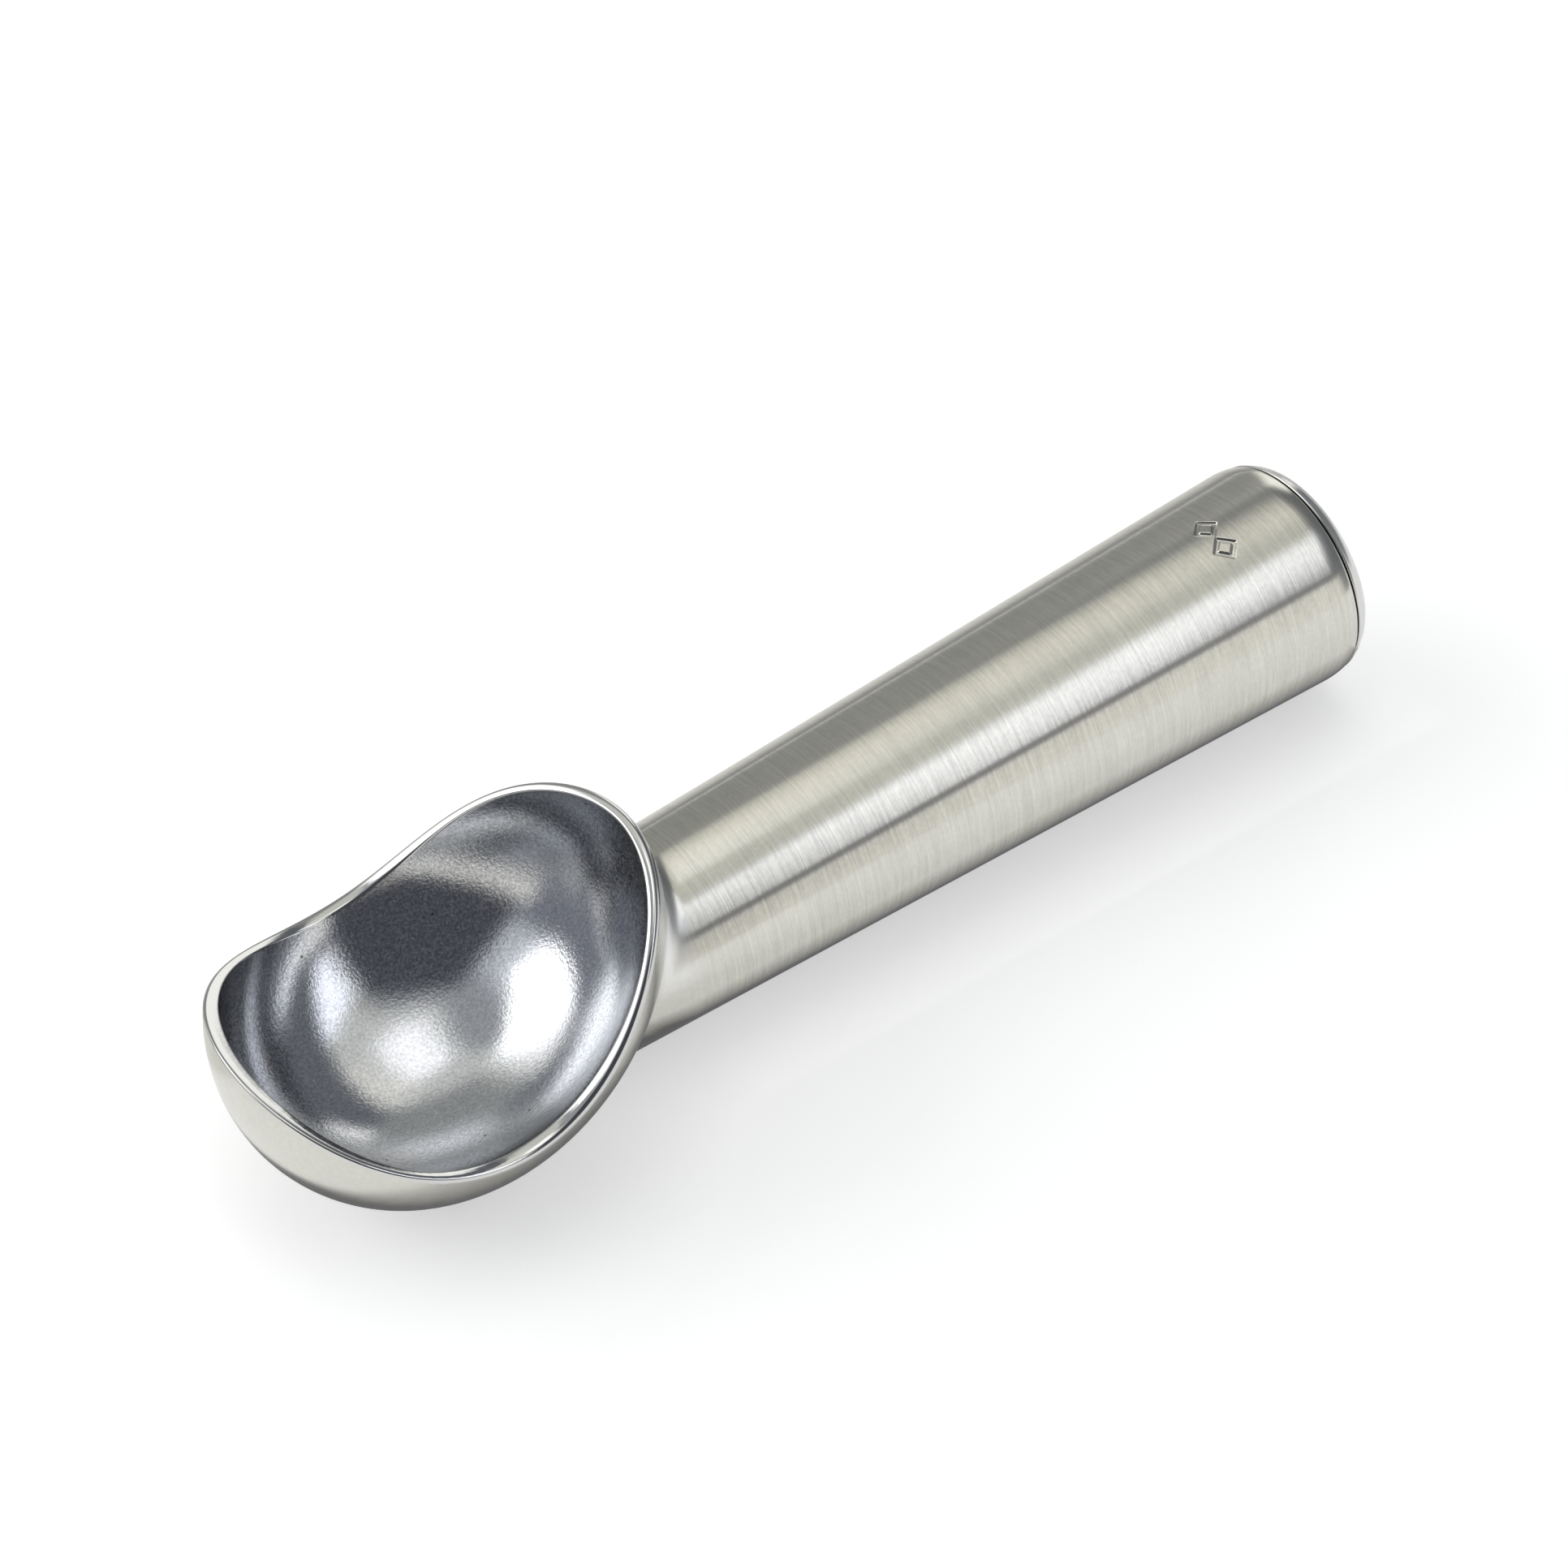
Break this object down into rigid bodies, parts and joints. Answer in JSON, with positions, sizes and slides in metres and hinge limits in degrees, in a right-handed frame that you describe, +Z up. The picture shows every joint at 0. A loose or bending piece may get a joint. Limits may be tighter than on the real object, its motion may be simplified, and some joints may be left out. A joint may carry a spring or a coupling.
{
  "type": "ice cream dipper",
  "caption": "One-piece cast dipper with an egg-shaped bowl, a saddle-shaped rim and a hollow tapered handle, closed by a cap and filled with heat-conducting liquid.",
  "frame": {"origin": "under the middle of the scoop's outline, on the surface that it lies on", "axes": "+X along the scoop, from the bowl's tip towards the capped end of the handle; +Z up, out of the open bowl; the bowl and the end of the handle both touch z = 0"},
  "size_m": [0.1838, 0.053, 0.0415],
  "materials": {
    "scoop_body": "circular brushed handle, polished bowl with a fine cast grain inside",
    "end_cap": "turned and polished",
    "cap_seal_ring": "matte moulded rubber",
    "heat_fluid": "clear pale liquid, out of sight in the handle"
  },
  "bodies": {
    "root": {"scoop_body": "scoop_body", "end_cap": "end_cap", "cap_seal_ring": "cap_seal_ring", "heat_fluid": "heat_fluid"}
  },
  "joints": []
}
